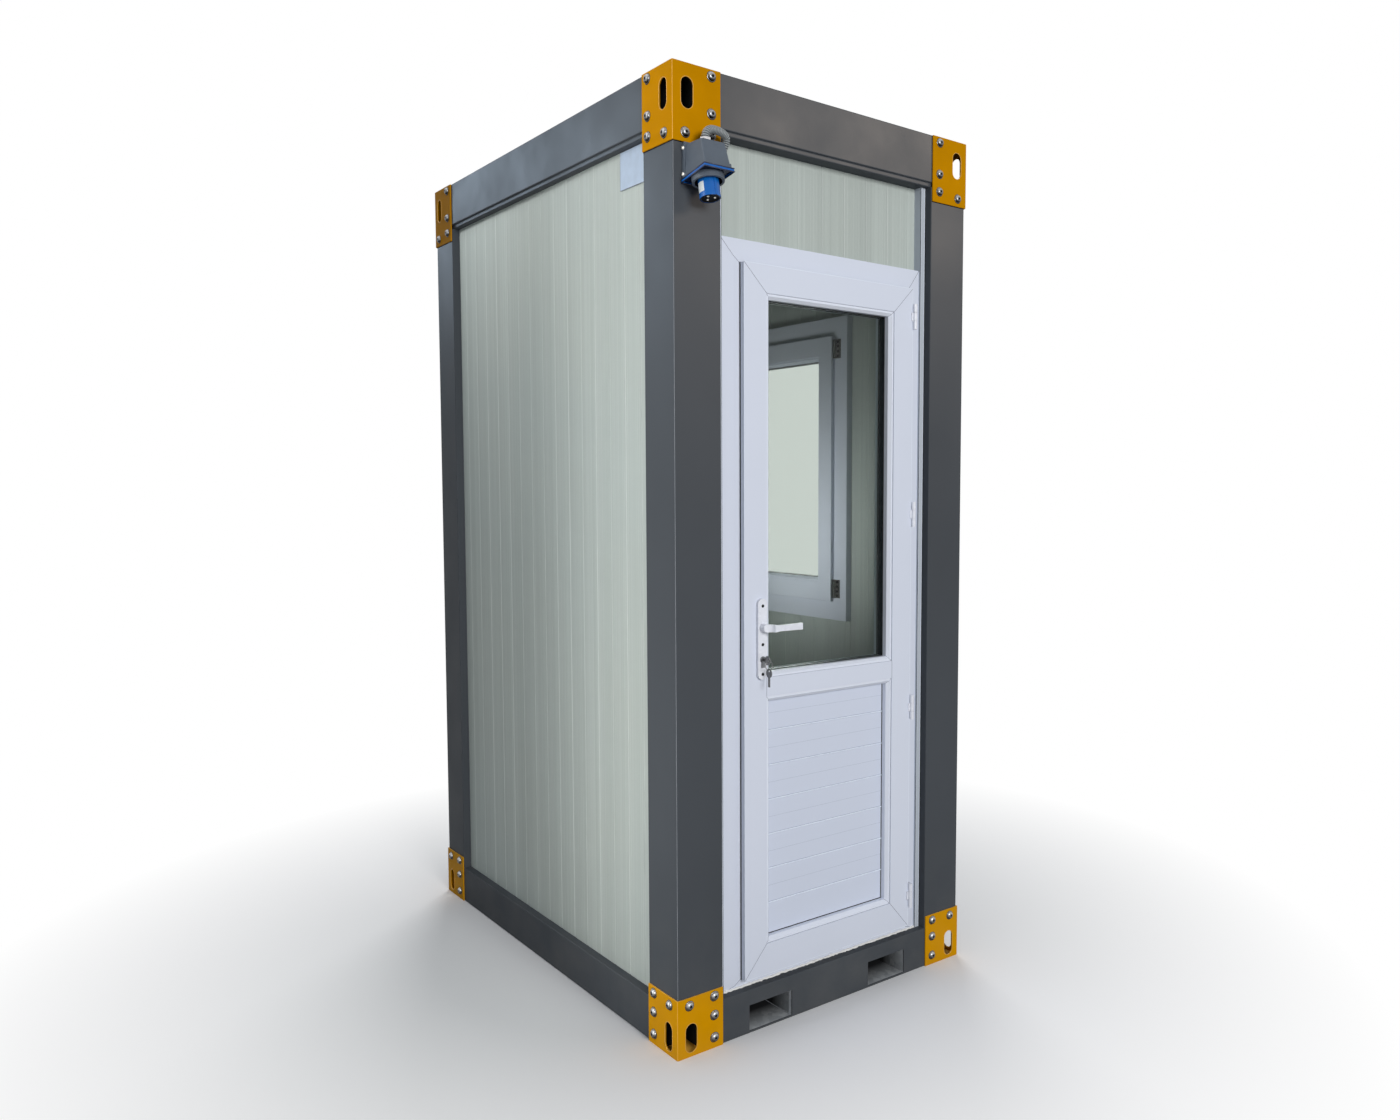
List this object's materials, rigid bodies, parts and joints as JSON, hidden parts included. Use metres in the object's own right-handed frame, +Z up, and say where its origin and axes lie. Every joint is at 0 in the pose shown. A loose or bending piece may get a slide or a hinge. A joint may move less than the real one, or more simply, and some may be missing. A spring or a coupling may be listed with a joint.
{
  "type": "security guard booth",
  "caption": "One-person guard booth: bolted steel frame with orange corner brackets, sandwich panel walls, a glazed hinged door, a side window, fork pockets and a power inlet.",
  "frame": {"origin": "on the ground at the centre of the booth's footprint, on the underside of the middle joist", "axes": "+X to the right seen from outside the door, +Y from the door to the back wall, +Z up"},
  "size_m": [1.008, 1.6046, 2.425],
  "materials": {
    "frame_paint": "dark grey satin powder coat on folded steel",
    "bracket_paint": "orange-yellow semi-gloss paint on steel plate",
    "galvanised": "galvanised steel",
    "panel_skin": "light grey coated steel skin, micro-ribbed",
    "panel_inner": "light grey coated steel skin",
    "trim_paint": "light grey coated steel trim",
    "upvc": "white uPVC profile",
    "glass": "clear double glazing",
    "spacer_bar": "dark anodised spacer bar",
    "handle_paint": "white powder coat",
    "lock_metal": "nickelled lock cylinder",
    "key_metal": "nickelled key",
    "deck_board": "phenolic-faced plywood",
    "sign_white": "white sheet, bare",
    "inlet_grey": "grey moulded plastic",
    "inlet_blue": "blue moulded plastic",
    "pin_metal": "nickelled pin",
    "conduit_grey": "grey corrugated conduit",
    "gland_grey": "light grey moulded plastic"
  },
  "bodies": {
    "booth": {"base_beams_end": "frame_paint", "base_beams_side": "frame_paint", "roof_beams_end": "frame_paint", "roof_beams_side": "frame_paint", "corner_posts": "frame_paint", "brackets_top_front": "bracket_paint", "brackets_top_back": "bracket_paint", "brackets_base_front": "bracket_paint", "brackets_base_back": "bracket_paint", "fork_tunnels": "galvanised", "floor_joists": "galvanised", "roof_sheet": "galvanised", "floor_deck": "deck_board", "ceiling_panel": "panel_inner", "left_wall_panel_front": "panel_skin", "left_wall_panel_back": "panel_skin", "right_wall_panel_front": "panel_skin", "right_wall_panel_back": "panel_skin", "right_wall_panel_below_window": "panel_skin", "right_wall_panel_above_window": "panel_skin", "back_wall_panel": "panel_skin", "front_wall_strips": "panel_skin", "transom_panel": "panel_skin", "door_jamb_trims": "trim_paint", "door_frame": "upvc", "window_frame": "upvc", "window_sash": "upvc", "window_beads": "upvc", "window_hinges": "handle_paint", "window_handle": "handle_paint", "window_glass": "glass", "window_glass_spacer": "spacer_bar", "door_hinges_frame": "handle_paint", "sign_plate": "sign_white", "inlet_housing": "inlet_grey", "inlet_collar": "inlet_grey", "inlet_insert": "inlet_blue", "inlet_pins": "pin_metal", "conduit": "conduit_grey", "conduit_glands": "gland_grey"},
    "door": {"door_leaf_frame": "upvc", "door_glass": "glass", "door_glass_spacer": "spacer_bar", "door_lower_panel": "upvc", "door_beads": "upvc", "handle_plates": "handle_paint", "lock_cylinder": "lock_metal", "door_hinges_leaf": "handle_paint", "door_keys": "key_metal"},
    "lever": {"lever": "handle_paint"}
  },
  "joints": [
    {"name": "door_swing", "type": "hinge", "parent": "booth", "child": "door", "pos_m": [0.305, -0.749, 1.06], "axis": [0, 0, 1], "range_deg": [0, 110]},
    {"name": "lever_turn", "type": "hinge", "parent": "door", "child": "lever", "pos_m": [-0.239, -0.744, 1.065], "axis": [0, 1, 0], "range_deg": [0, 45], "stiffness_Nm_per_rad": 2, "springref_deg": -11.46}
  ]
}
